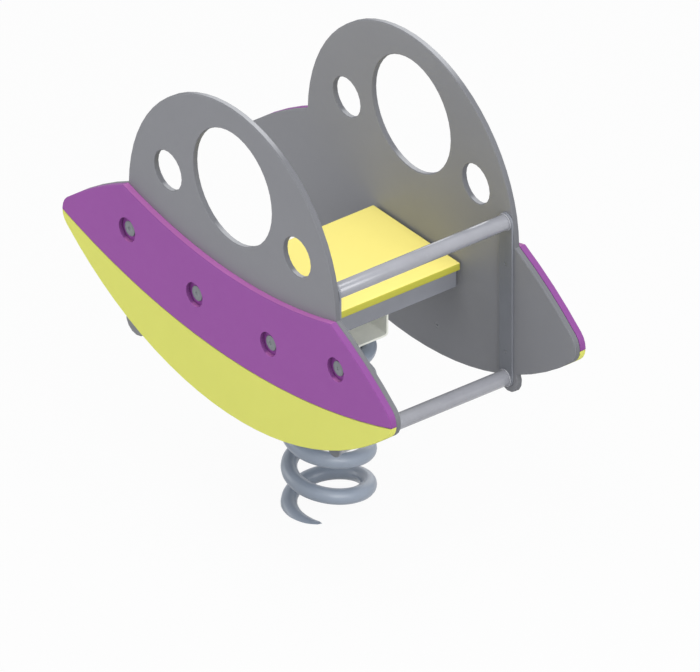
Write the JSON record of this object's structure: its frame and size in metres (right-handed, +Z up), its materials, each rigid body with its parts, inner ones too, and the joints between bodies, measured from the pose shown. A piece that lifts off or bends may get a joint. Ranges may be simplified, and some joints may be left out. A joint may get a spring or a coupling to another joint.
{
  "type": "playground seesaw",
  "caption": "Single-spring playground seesaw for one child: saucer-shaped side panels carry a seat board, handlebar and foot bars above a coil spring on a buried anchor plate.",
  "frame": {"origin": "underside of the anchor plate, at its middle, on the spring's axis", "axes": "+X towards the handlebar, +Y towards the rider's left, +Z up; the saucer's long side lies along X and the whole is mirror-symmetric about the XZ plane, spring apart"},
  "size_m": [0.89, 0.4132, 0.9464],
  "materials": {
    "grey_panel": "satin coloured through panel board with a fine moulded grain",
    "purple_panel": "satin coloured through panel board with a fine moulded grain",
    "yellow_panel": "satin coloured through panel board with a fine moulded grain",
    "seat_yellow": "satin seat board with softly rounded edges",
    "bar_steel": "semi-gloss light grey coating on steel tube",
    "bracket_paint": "satin grey coating on folded steel sheet",
    "saddle_zinc": "dull pale zinc-rich coating on folded steel sheet",
    "upright_paint": "satin dark grey coating on flat steel bar",
    "anchor_paint": "dull grey coating on flat steel",
    "spring_paint": "semi-gloss bluish grey coating on round spring wire",
    "bolt_head_paint": "satin grey coating on wide flat bolt heads",
    "fastener_steel": "plain stainless fasteners"
  },
  "bodies": {
    "anchor": {"anchor_plate": "anchor_paint", "bottom_clamp_1": "anchor_paint", "bottom_clamp_2": "anchor_paint", "bottom_clamp_3": "anchor_paint", "bottom_clamp_bolt_1": "fastener_steel", "bottom_clamp_bolt_2": "fastener_steel", "bottom_clamp_bolt_3": "fastener_steel"},
    "spring": {"spring": "spring_paint"},
    "rider": {"seat_tray": "bracket_paint", "top_clamp_left": "bracket_paint", "top_clamp_right": "bracket_paint", "saddle_bracket": "saddle_zinc", "seat_board": "seat_yellow", "handlebar": "bar_steel", "front_foot_bar": "bar_steel", "rear_foot_bar": "bar_steel", "top_clamp_bolt_left": "fastener_steel", "top_clamp_bolt_right": "fastener_steel", "top_clamp_nut_left": "fastener_steel", "top_clamp_nut_right": "fastener_steel", "seat_bolt_1": "fastener_steel", "seat_bolt_2": "fastener_steel", "seat_bolt_3": "fastener_steel", "seat_bolt_4": "fastener_steel", "left_panel": "grey_panel", "left_band": "purple_panel", "left_crescent": "yellow_panel", "left_upright": "upright_paint", "left_bolt_front_inner": "bolt_head_paint", "left_bolt_front_outer": "bolt_head_paint", "left_nut_front_inner": "fastener_steel", "left_insert_front_outer": "fastener_steel", "left_crescent_screw_front": "fastener_steel", "left_bolt_rear_inner": "bolt_head_paint", "left_bolt_rear_outer": "bolt_head_paint", "left_nut_rear_inner": "fastener_steel", "left_insert_rear_outer": "fastener_steel", "left_crescent_screw_rear": "fastener_steel", "left_upright_screw_1": "fastener_steel", "left_upright_screw_2": "fastener_steel", "left_rear_bar_screw": "fastener_steel", "right_panel": "grey_panel", "right_band": "purple_panel", "right_crescent": "yellow_panel", "right_upright": "upright_paint", "right_bolt_front_inner": "bolt_head_paint", "right_bolt_front_outer": "bolt_head_paint", "right_nut_front_inner": "fastener_steel", "right_insert_front_outer": "fastener_steel", "right_crescent_screw_front": "fastener_steel", "right_bolt_rear_inner": "bolt_head_paint", "right_bolt_rear_outer": "bolt_head_paint", "right_nut_rear_inner": "fastener_steel", "right_insert_rear_outer": "fastener_steel", "right_crescent_screw_rear": "fastener_steel", "right_upright_screw_1": "fastener_steel", "right_upright_screw_2": "fastener_steel", "right_rear_bar_screw": "fastener_steel"}
  },
  "joints": [
    {"name": "rock_pitch", "type": "hinge", "parent": "anchor", "child": "spring", "pos_m": [0, 0, 0.2185], "axis": [0, 1, 0], "range_deg": [-20, 20], "stiffness_Nm_per_rad": 600, "deforming": ["spring"]},
    {"name": "rock_roll", "type": "hinge", "parent": "spring", "child": "rider", "pos_m": [0, 0, 0.2185], "axis": [1, 0, 0], "range_deg": [-12, 12], "stiffness_Nm_per_rad": 600, "deforming": ["spring"]}
  ]
}
